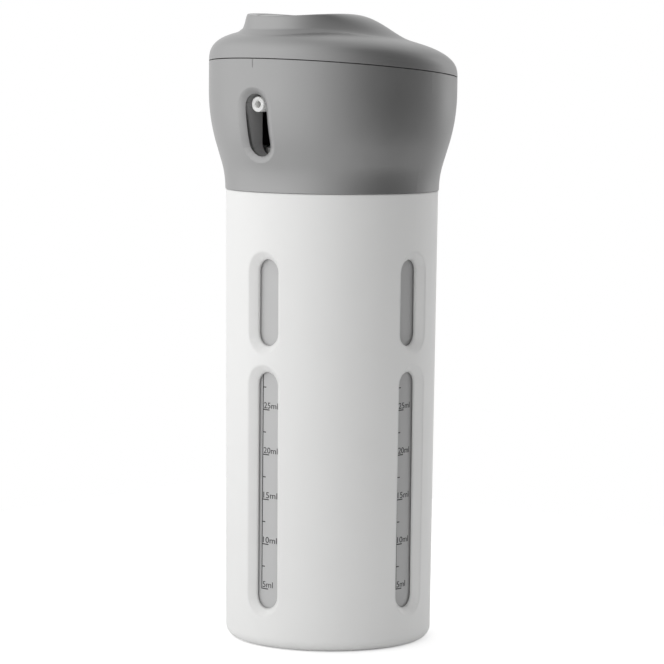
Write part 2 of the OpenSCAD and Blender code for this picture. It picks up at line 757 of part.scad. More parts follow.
module guide_frame() {
    color("darkslategray") difference() {
        union() {
            rod(frame_r - seat_gap, frame_z, frame_z + frame_t);
            translate([0, pad_y]) rod(guide_r, frame_z, frame_z + frame_t + guide_tube_h());
        }
        translate([0, pad_y]) rod(guide_bore_r, frame_z - over, pad_z);
        // Keyhole that the nozzle runs in
        translate([-nozzle_r - keyhole_fit, -frame_r - over, frame_z - over])
            cube([2 * (nozzle_r + keyhole_fit), frame_r + over + pad_y,
                nozzle_z + nozzle_r + keyhole_fit - frame_z + over]);
        // Room for the walls of the slot
        translate([-slot_w / 2 - tunnel_wall - keyhole_fit, -frame_r - over, frame_z - over])
            cube([slot_w + 2 * (tunnel_wall + keyhole_fit), frame_r + over - tunnel_in_r + keyhole_fit,
                frame_t + 2 * over]);
    }
}

module button() {
    skirt_r = button_r - button_skirt_t;
    flange_r = button_r + button_fit + collar_t / 2;
    flange_top_z = button_flange_z + button_flange_h;
    bore_r = stub_r + run_fit;
    bore_top_z = spout_top_z + stub_h + body_gap;
    top_z = button_side_z;
    color("gray") translate([0, pad_y, 0]) difference() {
        rotate_extrude() polygon([
            [bore_r, spout_top_z], [post_r, spout_top_z], [post_r, button_floor_z],
            [skirt_r, button_floor_z], [skirt_r, button_flange_z], [flange_r, button_flange_z],
            [flange_r, flange_top_z], [button_r, flange_top_z], [button_r, top_z - button_edge_r],
            [button_r - button_edge_r, top_z], [0, top_z], [0, bore_top_z], [bore_r, bore_top_z]]);
        // Finger groove, from front to back
        translate([0, 0, top_z + sqrt(groove_r * groove_r - button_r * button_r)]) rotate([90, 0, 0])
            cylinder(r = groove_r, h = 4 * button_r, center = true, $fn = 240);
    }
}

module button_spring() {
    color("lightsteelblue") translate([0, pad_y, frame_z + frame_t])
        coil(button_spring_r, button_wire_r, button_floor_z - frame_z - frame_t, button_spring_turns);
}

module spout() {
    color("white") difference() {
        union() {
            translate([0, pad_y]) rod(spout_r, spout_low_z, spout_top_z);
            translate([0, pad_y]) rod(stub_r, nozzle_z, spout_top_z + stub_h);
            translate([0, pad_y, nozzle_z]) rotate([90, 0, 0])
                cylinder(r = nozzle_r, h = nozzle_tip_r + pad_y);
        }
        translate([0, pad_y]) rod(seal_r, spout_low_z - over, spout_low_z + seal_t);
        translate([0, pad_y]) rod(channel_r, spout_low_z, nozzle_z);
        translate([0, pad_y, nozzle_z]) rotate([90, 0, 0])
            cylinder(r = nozzle_bore_r, h = nozzle_tip_r + pad_y + over);
    }
}

module seal_washer() {
    color("dimgray") translate([0, pad_y]) tube(seal_r, channel_r, spout_low_z, spout_low_z + seal_t);
}

base_shell();
bottle(1);  // bottle_1
bottle(2);  // bottle_2
bottle(3);  // bottle_3
bottle(4);  // bottle_4
closure(1);  // closure_1
closure(2);  // closure_2
closure(3);  // closure_3
closure(4);  // closure_4
neck_gasket(1);  // neck_gasket_1
neck_gasket(2);  // neck_gasket_2
neck_gasket(3);  // neck_gasket_3
neck_gasket(4);  // neck_gasket_4
pump_housing(1);  // pump_housing_1
pump_housing(2);  // pump_housing_2
pump_housing(3);  // pump_housing_3
pump_housing(4);  // pump_housing_4
pump_stem(1);  // pump_stem_1
pump_stem(2);  // pump_stem_2
pump_stem(3);  // pump_stem_3
pump_stem(4);  // pump_stem_4
pump_piston(1);  // pump_piston_1
pump_piston(2);  // pump_piston_2
pump_piston(3);  // pump_piston_3
pump_piston(4);  // pump_piston_4
pump_spring(1);  // pump_spring_1
pump_spring(2);  // pump_spring_2
pump_spring(3);  // pump_spring_3
pump_spring(4);  // pump_spring_4
inlet_ball(1);  // inlet_ball_1
inlet_ball(2);  // inlet_ball_2
inlet_ball(3);  // inlet_ball_3
inlet_ball(4);  // inlet_ball_4
dip_tube(1);  // dip_tube_1
dip_tube(2);  // dip_tube_2
dip_tube(3);  // dip_tube_3
dip_tube(4);  // dip_tube_4
neck_ring();
click_springs();
head_shell();
cap();
guide_frame();
button();
button_spring();
spout();
seal_washer();
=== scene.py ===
# %% [markdown]
# # A travel dispenser for four lotions
# The real object is a moulded tube with a flared head. Four quarter-round bottles stand in the tube, and the head
# turns to bring its nozzle over one of them. The engineering model already holds every solid, so this script loads
# it as a fixed frame and then works on looks: camera, light, plastics, and the small printed and moulded details.

# %% Load the frame
import math
import bmesh
import bpy
from mathutils import Matrix, Vector


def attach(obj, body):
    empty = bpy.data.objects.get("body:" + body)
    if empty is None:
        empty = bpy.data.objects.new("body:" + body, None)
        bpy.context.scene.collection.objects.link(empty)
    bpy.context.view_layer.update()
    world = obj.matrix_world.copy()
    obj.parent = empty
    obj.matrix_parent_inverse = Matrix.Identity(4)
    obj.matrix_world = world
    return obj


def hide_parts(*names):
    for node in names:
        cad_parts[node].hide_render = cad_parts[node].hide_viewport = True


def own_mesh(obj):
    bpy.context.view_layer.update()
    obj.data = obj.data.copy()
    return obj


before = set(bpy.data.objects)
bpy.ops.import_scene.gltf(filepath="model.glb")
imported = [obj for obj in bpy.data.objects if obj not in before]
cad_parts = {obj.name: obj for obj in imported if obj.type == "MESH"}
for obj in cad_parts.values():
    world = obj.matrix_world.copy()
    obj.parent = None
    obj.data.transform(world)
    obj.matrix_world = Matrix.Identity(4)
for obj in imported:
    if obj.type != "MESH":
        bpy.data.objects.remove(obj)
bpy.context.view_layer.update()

# %% [markdown]
# ## Small helpers
# Colours are written the way a paint chart gives them, as sRGB hex values. The renderer works in linear light, so
# one function turns one into the other. A second function adds a shader node with its settings and its links, which
# keeps every material below readable from top to bottom.

# %% Colour and node helpers
MM = 0.001


def linear(hex_colour):
    """An sRGB hex colour as linear RGBA."""
    parts = [int(hex_colour[i:i + 2], 16) / 255 for i in (1, 3, 5)]
    return tuple(c / 12.92 if c <= 0.04045 else ((c + 0.055) / 1.055) ** 2.4 for c in parts) + (1.0,)


def add_node(tree, kind, settings=None, inputs=None):
    """Adds one node, sets its properties, and fills or links its input sockets."""
    node = tree.nodes.new(kind)
    for name, value in (settings or {}).items():
        setattr(node, name, value)
    for name, value in (inputs or {}).items():
        if isinstance(value, bpy.types.NodeSocket):
            tree.links.new(value, node.inputs[name])
        else:
            node.inputs[name].default_value = value
    return node


print("mid grey in linear light:", round(linear("#808080")[0], 3))

# %% [markdown]
# ## The camera
# The photograph was taken from about 0.9 m with a long lens, almost level, 39 degrees to the right of the nozzle.
# The numbers come from fitting the outline, the joint lines and the window edges. A long lens keeps the tube's sides
# nearly parallel, which is why a wide lens close up would look wrong here.

# %% Camera
AZIMUTH = math.radians(39.0)
CAMERA_DISTANCE = 857 * MM
CAMERA_HEIGHT = 164.1 * MM
CAMERA_SIDE = 0.35 * MM
CAMERA_PITCH = math.radians(5.42)
CAMERA_ROLL = math.radians(0.567)
SENSOR_MM = 36
LENS_MM = 172.3
NEAREST_SEEN = 50 * MM
FARTHEST_SEEN = 20000 * MM

to_right = Vector((math.cos(AZIMUTH), math.sin(AZIMUTH), 0))
to_camera = Vector((math.sin(AZIMUTH), -math.cos(AZIMUTH), 0))
up = Vector((0, 0, 1))

camera_data = bpy.data.cameras.new("camera")
camera_data.sensor_width = SENSOR_MM
camera_data.lens = LENS_MM
camera_data.clip_start = NEAREST_SEEN
camera_data.clip_end = FARTHEST_SEEN
camera = bpy.data.objects.new("camera", camera_data)
scene = bpy.context.scene
scene.collection.objects.link(camera)
look = -to_camera * math.cos(CAMERA_PITCH) - up * math.sin(CAMERA_PITCH)
turn = look.to_track_quat("-Z", "Y").to_matrix().to_4x4() @ Matrix.Rotation(CAMERA_ROLL, 4, "Z")
camera.matrix_world = Matrix.Translation(
    to_camera * CAMERA_DISTANCE + to_right * CAMERA_SIDE + up * CAMERA_HEIGHT) @ turn
scene.camera = camera
scene.view_settings.view_transform = "Standard"
print("camera at", [round(c, 3) for c in camera.location])

# %% [markdown]
# ## The studio
# The picture is a packshot. A satin object shows its surroundings as soft bands, so the studio matters as much as
# the lamps: bright walls on the left and behind, and a dark one in front on the right, which draws the deep band
# down the head. The world holds those walls as a strength for each direction round the object, and a grey ceiling
# that keeps the cap's dome from shining. The camera itself sees plain white, through the light path switch.

# %% Studio walls
BACKDROP_WHITE = 1.0
CEILING = 0.6
# The ceiling starts and is full at these sines of a ray's climb.
CEILING_STARTS = 0.85
CEILING_FULL = 0.97
# Degrees round the object from the camera, to the right, and how bright the studio is there.
STUDIO_WALLS = ((-180, 1.0), (-140, 0.92), (-60, 0.92), (-30, 0.94), (0, 0.58), (30, 0.24), (56, 0.12),
                (84, 0.16), (110, 0.36), (148, 0.72), (180, 1.0))

world = bpy.data.worlds.new("studio")
scene.world = world
world.use_nodes = True
tree = world.node_tree
tree.nodes.clear()
ray = add_node(tree, "ShaderNodeTexCoord").outputs["Generated"]
side = add_node(tree, "ShaderNodeVectorMath", {"operation": "DOT_PRODUCT"}, {0: ray, 1: to_right})
front = add_node(tree, "ShaderNodeVectorMath", {"operation": "DOT_PRODUCT"}, {0: ray, 1: to_camera})
rise = add_node(tree, "ShaderNodeVectorMath", {"operation": "DOT_PRODUCT"}, {0: ray, 1: up})
azimuth = add_node(tree, "ShaderNodeMath", {"operation": "ARCTAN2"},
                   {0: side.outputs["Value"], 1: front.outputs["Value"]})
share = add_node(tree, "ShaderNodeMapRange", None,
                 {"Value": azimuth.outputs[0], "From Min": -math.pi, "From Max": math.pi})
walls = add_node(tree, "ShaderNodeValToRGB", None, {0: share.outputs["Result"]})
walls.color_ramp.interpolation = "EASE"
for i, (degrees, level) in enumerate(STUDIO_WALLS):
    place = (degrees + 180) / 360
    stops = walls.color_ramp.elements
    stop = stops[0] if i == 0 else stops[-1] if i == len(STUDIO_WALLS) - 1 else stops.new(place)
    stop.position = place
    stop.color = (level, level, level, 1)
ceiling = add_node(tree, "ShaderNodeMapRange", {"interpolation_type": "SMOOTHSTEP"},
                   {"Value": rise.outputs["Value"], "From Min": CEILING_STARTS, "From Max": CEILING_FULL})
studio = add_node(tree, "ShaderNodeMix", {"data_type": "FLOAT"},
                  {0: ceiling.outputs["Result"], 2: walls.outputs["Color"], 3: CEILING})
rays = add_node(tree, "ShaderNodeLightPath")
sees_backdrop = add_node(tree, "ShaderNodeMath", {"operation": "MAXIMUM"},
                         {0: rays.outputs["Is Camera Ray"], 1: rays.outputs["Is Transmission Ray"]})
strength = add_node(tree, "ShaderNodeMix", {"data_type": "FLOAT"},
                    {0: sees_backdrop.outputs[0], 2: studio.outputs[0], 3: BACKDROP_WHITE})
sky = add_node(tree, "ShaderNodeBackground", None,
               {"Color": linear("#FFFFFF"), "Strength": strength.outputs[0]})
add_node(tree, "ShaderNodeOutputWorld", None, {"Surface": sky.outputs[0]})
print("studio walls from", min(level for _, level in STUDIO_WALLS), "to", max(level for _, level in STUDIO_WALLS))

# %% [markdown]
# ## The floor
# The object stands on white sweep paper, matte, with a fibre too fine to see. A small sheet is enough: it takes the
# contact shadow, and bounces light up into the foot. A lift that only the camera sees brings the lit paper up to the
# white of the backdrop, so that the sheet's edge doesn't show.

# %% Sweep paper
FLOOR_HALF = 0.22
FLOOR_LIFT = 0.5
PAPER_FIBRE_MM = 0.49
PAPER_RELIEF_MM = 0.1
PAPER_BUMP = 0.05
floor_material = bpy.data.materials.new("white sweep paper")
floor_material.use_nodes = True
tree = floor_material.node_tree
tree.nodes.clear()
# The noise runs from 0 to 1 across the sheet, so its scale is the number of fibres in that width.
fibre = add_node(tree, "ShaderNodeTexNoise", None,
                 {"Scale": 2 * FLOOR_HALF / (PAPER_FIBRE_MM * MM), "Detail": 3.0})
relief = add_node(tree, "ShaderNodeBump", None,
                  {"Strength": PAPER_BUMP, "Distance": PAPER_RELIEF_MM * MM, "Height": fibre.outputs[0]})
paper = add_node(tree, "ShaderNodeBsdfDiffuse", None,
                 {"Color": linear("#ECECEC"), "Normal": relief.outputs[0]})
rays = add_node(tree, "ShaderNodeLightPath")
lift = add_node(tree, "ShaderNodeMath", {"operation": "MULTIPLY"},
                {0: rays.outputs["Is Camera Ray"], 1: FLOOR_LIFT})
glow = add_node(tree, "ShaderNodeEmission", None, {"Strength": lift.outputs[0]})
both = add_node(tree, "ShaderNodeAddShader", None, {0: paper.outputs[0], 1: glow.outputs[0]})
add_node(tree, "ShaderNodeOutputMaterial", None, {"Surface": both.outputs[0]})

floor_mesh = bpy.data.meshes.new("floor")
shape = bmesh.new()
bmesh.ops.create_grid(shape, x_segments=8, y_segments=8, size=FLOOR_HALF)
shape.to_mesh(floor_mesh)
shape.free()
floor = bpy.data.objects.new("floor", floor_mesh)
scene.collection.objects.link(floor)
floor_mesh.materials.append(floor_material)
print("floor lift for the camera:", FLOOR_LIFT)

# %% [markdown]
# ## The lamps
# A large soft box on the left is the key, and a small one behind on the right draws a thin rim. Two more fill the
# matte white tube from the front and the right. They would also mirror in the satin head and wash out its dark band,
# so they are hidden from reflections: a photographer does the same with flags between lamp and object.

# %% Soft boxes
AIM_HEIGHT = 90 * MM
# How far to the right, to the front and up each one hangs, its width and height, in metres, and its watts.
SOFT_BOXES = {
    "key soft box": (-0.9, 0.1, 0.3, 1.6, 1.2, 1.4),
    "rim soft box": (0.68, -0.5, 0.3, 0.3, 0.6, 0.3),
    "front fill": (-0.45, 1.0, 0.3, 0.9, 0.7, 1.55),
    "right fill": (0.93, -0.4, 0.3, 0.8, 1.0, 2.7),
}
UNMIRRORED = ("front fill", "right fill")
for name, (right, forward, height, width, tall, watts) in SOFT_BOXES.items():
    data = bpy.data.lights.new(name, "AREA")
    data.shape = "RECTANGLE"
    data.size = width
    data.size_y = tall
    data.energy = watts
    lamp = bpy.data.objects.new(name, data)
    scene.collection.objects.link(lamp)
    place = to_right * right + to_camera * forward + up * height
    aim = Vector((0, 0, AIM_HEIGHT)) - place
    lamp.matrix_world = Matrix.Translation(place) @ aim.to_track_quat("-Z", "Y").to_matrix().to_4x4()
    lamp.visible_glossy = name not in UNMIRRORED

# %% [markdown]
# ## Plastics
# Nearly every piece is injection-moulded plastic, so one recipe serves them all, with a colour, gloss and grain of
# its own for each. The melt's flow leaves a faint mottle in the colour, and the roughness drifts over the same
# patches by a few hundredths. A spark-eroded mould prints a fine grain on the skin, about 0.15 mm wide. That is
# finer than a pixel here, so it is drawn at 0.4 mm, very shallow. The bevel node rounds the edges in the shading
# alone, because no moulding comes out of its tool with a knife edge.

# %% Moulded plastic
MATTE_GRAIN_MM = 0.4
FLOW_PATCH_MM = 14.0
GLOSS_DRIFT = 0.03
GRAIN_STRENGTH = 0.35
# Most of a noise texture's values lie between these two.
NOISE_LOW = 0.3
NOISE_HIGH = 0.7
EDGE_SAMPLES = 6


def moulded(name, colour, roughness, grain_depth_mm, tint=0.03, ior=1.49, edge_mm=0.1, **extra):
    """A moulded plastic: base colour with a faint flow mottle, fine mould grain, uneven gloss, rounded edges."""
    material = bpy.data.materials.new(name)
    material.use_nodes = True
    tree = material.node_tree
    tree.nodes.clear()
    place = add_node(tree, "ShaderNodeTexCoord")
    flow = add_node(tree, "ShaderNodeTexNoise", None,
                    {"Vector": place.outputs["Object"], "Scale": 1 / (FLOW_PATCH_MM * MM), "Detail": 2.0})
    base = linear(colour)
    deep = tuple(c * (1 - tint) for c in base[:3]) + (1.0,)
    mottle = add_node(tree, "ShaderNodeMix", {"data_type": "RGBA"},
                      {0: flow.outputs[0], 6: deep, 7: base})
    gloss = add_node(tree, "ShaderNodeMapRange", None,
                     {"Value": flow.outputs[0], "From Min": NOISE_LOW, "From Max": NOISE_HIGH,
                      "To Min": roughness - GLOSS_DRIFT, "To Max": roughness + GLOSS_DRIFT})
    grain = add_node(tree, "ShaderNodeTexNoise", None,
                     {"Vector": place.outputs["Object"], "Scale": 1 / (MATTE_GRAIN_MM * MM), "Detail": 2.0})
    edge = add_node(tree, "ShaderNodeBevel", {"samples": EDGE_SAMPLES}, {"Radius": edge_mm * MM})
    bump = add_node(tree, "ShaderNodeBump", None,
                    {"Strength": GRAIN_STRENGTH, "Distance": grain_depth_mm * MM, "Height": grain.outputs[0],
                     "Normal": edge.outputs[0]})
    surface = add_node(tree, "ShaderNodeBsdfPrincipled", None,
                       {"Base Color": mottle.outputs[2], "Roughness": gloss.outputs["Result"],
                        "IOR": ior, "Normal": bump.outputs[0], **extra})
    add_node(tree, "ShaderNodeOutputMaterial", None, {"Surface": surface.outputs[0]})
    return material


print("mould grain drawn at", MATTE_GRAIN_MM, "mm, flow patches at", FLOW_PATCH_MM, "mm")

# %% [markdown]
# ## A finish for each kind of piece
# Each finish starts from its material's own values: polypropylene and polyethylene have an IOR near 1.5, ABS 1.54
# and PETG 1.57. A polished mould gives a roughness near 0.3, a spark-eroded one 0.4 to 0.5. The head's lacquer is
# the exception: flakes of metal in it mirror the room in broad bands, so it is mostly Metallic, and that is why the
# head goes so dark on the right, where the white tube under it hardly does.

# %% The finishes
METAL_PIGMENT = 0.85
# Chalky white that shows form by shade alone, with window edges as soft as a millimetre of radius.
white_pp = moulded("spark-eroded white polypropylene", "#F4F4F3", 0.45, 0.02, edge_mm=1.0)
# Satin grey, smooth to the eye, with the room in it as soft bands.
grey_lacquer = moulded("sprayed satin metallic lacquer on ABS", "#A9A9A9", 0.4, 0.01, ior=1.54,
                       Metallic=METAL_PIGMENT)
# Smooth white with small clear glints on its flutes.
gloss_pp = moulded("polished white polypropylene", "#F1F1EF", 0.25, 0.004)
# Thin and without filler, so light soaks through it, and the nozzle glows a little, down into its bore.
nozzle_pp = moulded("thin unfilled white polypropylene", "#F4F4F2", 0.3, 0.004,
                    **{"Subsurface Weight": 0.7, "Subsurface Radius": (1.0, 1.0, 1.0), "Subsurface Scale": 2.0 * MM})
# Dull near-black, so the inside seen through the slot goes dark: the colour is partly painted shade, standing in for
# the shade deep in the head.
black_abs_and_slot_shade = moulded("spark-eroded black ABS, dark as the slot's shade", "#17171A", 0.5, 0.02, ior=1.54)
# Dense grey with a slight sheen, because it has to slide.
grey_acetal = moulded("moulded grey acetal", "#5D5E60", 0.4, 0.01)
# Milky and half clear.
natural_pe = moulded("moulded natural polyethylene", "#DEDEDA", 0.4, 0.01, ior=1.51,
                     **{"Transmission Weight": 0.3})
# Soft and dry, without any glint.
foam = moulded("die-cut closed-cell foam", "#D8D8D6", 0.85, 0.08)
# Black with a faint bloom.
nitrile = moulded("moulded black nitrile rubber", "#202022", 0.7, 0.03)
# Cloudy grey: the satin outside scatters most of the light, so little shows through.
smoke_petg = moulded("blow-moulded smoke-tinted PETG", "#CDCDCD", 0.4, 0.01, ior=1.57,
                     **{"Transmission Weight": 0.1})
print("materials so far:", sorted(m.name for m in bpy.data.materials))

# %% [markdown]
# ## Where the lacquer stops
# The head is sprayed from outside, so the lacquer covers the soft bevel of the nozzle's slot and stops there. The
# slot's own walls stay bare moulded ABS, which is lighter in the shade because it scatters light instead of mirroring
# a dark room. The shader finds them by their depth under the flared outside.

# %% Bare walls of the slot
# Height and radius of the flared outside, at its foot and at its widest.
HEAD_LOW = (121.6 * MM, 28.8 * MM)
HEAD_HIGH = (147.9 * MM, 33.4 * MM)
LACQUER_REACH = (1.3 * MM, 2.0 * MM)
slot_abs = grey_lacquer.copy()
slot_abs.name = "sprayed satin metallic lacquer, bare ABS in the slot"
tree = slot_abs.node_tree
place = add_node(tree, "ShaderNodeSeparateXYZ", None,
                 {0: add_node(tree, "ShaderNodeTexCoord").outputs["Object"]})
flat = add_node(tree, "ShaderNodeCombineXYZ", None, {"X": place.outputs["X"], "Y": place.outputs["Y"]})
from_axis = add_node(tree, "ShaderNodeVectorMath", {"operation": "LENGTH"}, {0: flat.outputs[0]})
outside = add_node(tree, "ShaderNodeMapRange", {"interpolation_type": "SMOOTHSTEP"},
                   {"Value": place.outputs["Z"], "From Min": HEAD_LOW[0], "From Max": HEAD_HIGH[0],
                    "To Min": HEAD_LOW[1], "To Max": HEAD_HIGH[1]})
depth = add_node(tree, "ShaderNodeMath", {"operation": "SUBTRACT"},
                 {0: outside.outputs["Result"], 1: from_axis.outputs["Value"]})
lacquered = add_node(tree, "ShaderNodeMapRange", None,
                     {"Value": depth.outputs[0], "From Min": LACQUER_REACH[0], "From Max": LACQUER_REACH[1],
                      "To Min": METAL_PIGMENT, "To Max": 0.0})
for node in tree.nodes:
    if node.type == "BSDF_PRINCIPLED":
        tree.links.new(lacquered.outputs["Result"], node.inputs["Metallic"])
print("lacquer stops", LACQUER_REACH[0] / MM, "mm under the outside")

# %% [markdown]
# ## Metal
# The springs are drawn stainless wire and the check balls are ground and polished. Drawing leaves fine lines along
# the wire, so its roughness is higher and slightly uneven, while the ball is close to a mirror.

# %% Stainless steel
STREAK_DRIFT = 0.1


def stainless(name, colour, roughness, streak_mm):
    """Stainless steel with a fine streak in its roughness."""
    material = bpy.data.materials.new(name)
    material.use_nodes = True
    tree = material.node_tree
    tree.nodes.clear()
    place = add_node(tree, "ShaderNodeTexCoord")
    streak = add_node(tree, "ShaderNodeTexNoise", None,
                      {"Vector": place.outputs["Object"], "Scale": 1 / (streak_mm * MM), "Detail": 3.0})
    gloss = add_node(tree, "ShaderNodeMapRange", None,
                     {"Value": streak.outputs[0], "From Min": NOISE_LOW, "From Max": NOISE_HIGH,
                      "To Min": roughness, "To Max": roughness + STREAK_DRIFT})
    surface = add_node(tree, "ShaderNodeBsdfPrincipled", None,
                       {"Base Color": linear(colour), "Metallic": 1.0, "Roughness": gloss.outputs["Result"]})
    add_node(tree, "ShaderNodeOutputMaterial", None, {"Surface": surface.outputs[0]})
    return material


# Bright lines that follow the wire's turns, never a clear reflection.
spring_wire = stainless("drawn stainless wire", "#C9C7C2", 0.28, 0.6)
# A small mirror with one hard glint.
ball_steel = stainless("polished stainless ball", "#D6D5D2", 0.08, 2.0)
print("metals:", spring_wire.name, "and", ball_steel.name)

# %% [markdown]
# ## Dressing the solids
# The solids come from the engineering model with one node per physical piece, so a table from piece to finish is all
# that is needed. Pieces that come four times, one for each bottle, share a row: the number at the end is cut off.

# %% Give every solid its material
BOTTLES = (1, 2, 3, 4)
# The guide frame's near-black finish is partly painted shade for the dark behind the slot.
finish_of = {
    "base_shell": white_pp, "bottle": smoke_petg, "closure": gloss_pp, "neck_gasket": foam,
    "pump_housing": gloss_pp, "pump_stem": gloss_pp, "pump_piston": natural_pe, "pump_spring": spring_wire,
    "inlet_ball": ball_steel, "dip_tube": natural_pe, "neck_ring": grey_acetal, "click_springs": spring_wire,
    "head_shell": slot_abs, "cap": grey_lacquer, "guide_frame": black_abs_and_slot_shade, "button": grey_lacquer,
    "button_spring": spring_wire, "spout": nozzle_pp, "seal_washer": nitrile,
}
for name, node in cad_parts.items():
    kind = name[:-2] if name[-1].isdigit() else name
    node.data.materials.clear()
    node.data.materials.append(finish_of[kind])
print("dressed", len(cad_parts), "solids")

# %% [markdown]
# ## The cap
# The cap is one moulding: a low dome on a slanted seam, with a raised finger pad that wraps the push button and runs
# out behind it as a long ramp. The engineering solid has this form in flat facets, and a satin dome shows every one of
# them. A subdivision surface would round the facets but also pull the form inwards, so the same curves are drawn
# again with many more points, which keeps the size exact.

# %% Cap sizes
HEAD_R = 33.4
SEAM_Z = 153.5
SEAM_SLOPE = math.tan(math.radians(5.27))
SEAM_GAP = 0.25
DOME_H = 10.0
DOME_POWER = 2.7
DOME_ROOT = 0.352
DOME_LEAN = 0.066
PAD_Y = -14.0
PAD_Z = SEAM_Z + 14.2
PAD_HALF_W = 15.0
PAD_HALF_L = 14.4
PAD_SIDE_RISE = 0.9
HOLE_R = 11.6
LIP_R = 31.1
LIP_T = 1.35
LIP_H = 2.6
CAP_WALL = 2.2
COLLAR_T = 1.5
COLLAR_Z = PAD_Z - 5.55
print("pad rim height in mm:", PAD_Z, "underside collar at:", round(COLLAR_Z, 2))

# %% Dome
# One small function for each curve: the slanted seam, and the dome that rises from it.


def smooth_step(a, b, x):
    t = max(0.0, min(1.0, (x - a) / (b - a)))
    return t * t * (3 - 2 * t)


def seam_at(y):
    return SEAM_Z - y * SEAM_SLOPE


def dome_at(x, y):
    """Height of the dome: a flat-topped curve that falls steeply at the rim."""
    share = min(1.0, math.hypot(x, y) / HEAD_R)
    return seam_at(y) + DOME_H * (1 - DOME_LEAN * y / HEAD_R) * (1 - share ** DOME_POWER) ** DOME_ROOT


print("dome's top in mm:", round(dome_at(0, 0), 2))

# %% [markdown]
# The pad's side is steep in front and turns, step by step, into a ramp behind. Two falls are blended: a wall, which
# takes most of the height, and a softer foot, which keeps the pad from meeting the dome in a crease. Each is written as
# where it starts and ends past the pad's wall, as shares of the pad's half length, in front and then behind. The last
# number says how late, on the way round, the front's form gives way to the ramp.

# %% Finger pad
PAD_WALL_SHARES = ((-0.052, 0.021), (-0.09, 0.99), 1.55)
PAD_FOOT_SHARES = ((-0.042, 0.14), (-0.09, 1.16), 1.8)
PAD_WALL_WEIGHT = 0.75
# The sines of the azimuth between which the front turns into the ramp.
PAD_TURN = (-0.8, 0.65)


def pad_wall(a):
    return PAD_HALF_W * PAD_HALF_L / math.hypot(PAD_HALF_L * math.cos(a), PAD_HALF_W * math.sin(a))


def pad_fall(u, way, front, back, lateness):
    start, end = (PAD_HALF_L * (f + (b - f) * way ** lateness) for f, b in zip(front, back))
    return 1 - smooth_step(start, end, u)


def pad_share(u, a):
    """How much of the pad's height is left past its wall: steep in front, a long ramp behind."""
    way = smooth_step(*PAD_TURN, math.sin(a))
    return (PAD_WALL_WEIGHT * pad_fall(u, way, *PAD_WALL_SHARES)
            + (1 - PAD_WALL_WEIGHT) * pad_fall(u, way, *PAD_FOOT_SHARES))


def cap_point(t, a):
    x, y = t * math.cos(a), PAD_Y + t * math.sin(a)
    base = dome_at(x, y)
    rise = PAD_SIDE_RISE * (x / PAD_HALF_W) ** 2
    return Vector((x, y, base + (PAD_Z + rise - base) * pad_share(t - pad_wall(a), a)))


print("pad's side wall in mm from its axis:", round(pad_wall(0), 2))

# %% [markdown]
# The skin is a stack of closed rings, from the button's hole out to the rim, under the seam lip and back inside. The
# rings start round the pad's axis and end round the head's axis, so each ray keeps its azimuth and the quads stay
# even. The hole's edge gets a small round of half a millimetre, which catches a thin line of light.

# %% Rings and meshes
AROUND = 288
turns = [math.tau * i / AROUND for i in range(AROUND)]


def ray_to(radius, a):
    """Distance from the pad's axis to a circle round the head's axis."""
    c = PAD_Y * math.sin(a)
    return math.sqrt(c * c + radius * radius - PAD_Y * PAD_Y) - c


def rim_radius(share):
    """The radius at which the dome has this share of its height."""
    return HEAD_R * (1 - share ** (1 / DOME_ROOT)) ** (1 / DOME_POWER)


RIM_SHARE = 0.5
SHOULDER_R = rim_radius(RIM_SHARE)


def head_ring(radius, a):
    """The point of a circle round the head's axis that belongs to a ray from the pad's axis."""
    t = ray_to(SHOULDER_R, a)
    way = math.atan2(PAD_Y + t * math.sin(a), t * math.cos(a))
    return radius * math.cos(way), radius * math.sin(way)


def finished_mesh(shape, name, sharp_degrees=None):
    """Turns a bmesh into a mesh with its faces outwards, smooth except at folds sharper than the given angle."""
    bmesh.ops.recalc_face_normals(shape, faces=shape.faces)
    mesh = bpy.data.meshes.new(name)
    shape.to_mesh(mesh)
    shape.free()
    if sharp_degrees:
        mesh.shade_smooth()
        mesh.set_sharp_from_angle(angle=math.radians(sharp_degrees))
    return mesh


print("the rings change axis at a radius of", round(SHOULDER_R, 2), "mm")

# %% Top of the cap
HOLE_EDGE_R = 0.5
HOLE_EDGE_STEPS = 5
PAD_TOP_STEPS = 5
PAD_SIDE_STEPS = 24
# The pad's side is drawn from this far inside its wall to this far outside it.
PAD_SIDE_IN = 1.0
PAD_SIDE_OUT = 2.2
DOME_STEPS = 40
RIM_STEPS = 16
hole_r = HOLE_R + HOLE_EDGE_R
cap_rings = []
for i in range(HOLE_EDGE_STEPS + 1):
    q = math.pi / 2 * i / HOLE_EDGE_STEPS
    drop = Vector((0, 0, HOLE_EDGE_R * (1 - math.sin(q))))
    cap_rings.append([cap_point(HOLE_R + HOLE_EDGE_R * (1 - math.cos(q)), a) - drop for a in turns])
for i in range(1, PAD_TOP_STEPS + 1):
    share = i / PAD_TOP_STEPS
    cap_rings.append([cap_point(hole_r + (pad_wall(a) - PAD_SIDE_IN - hole_r) * share, a) for a in turns])
for i in range(1, PAD_SIDE_STEPS + 1):
    past = -PAD_SIDE_IN + (PAD_SIDE_OUT + PAD_SIDE_IN) * i / PAD_SIDE_STEPS
    cap_rings.append([cap_point(pad_wall(a) + past, a) for a in turns])
for i in range(1, DOME_STEPS + 1):
    share = i / DOME_STEPS
    ring = []
    for a in turns:
        start = pad_wall(a) + PAD_SIDE_OUT
        ring.append(cap_point(start + (ray_to(SHOULDER_R, a) - start) * share, a))
    cap_rings.append(ring)
for i in range(1, RIM_STEPS + 1):
    ring = []
    for a in turns:
        x, y = head_ring(rim_radius(RIM_SHARE * (1 - i / RIM_STEPS)), a)
        ring.append(Vector((x, y, max(dome_at(x, y), seam_at(y) + SEAM_GAP))))
    cap_rings.append(ring)
print("rings on top:", len(cap_rings))

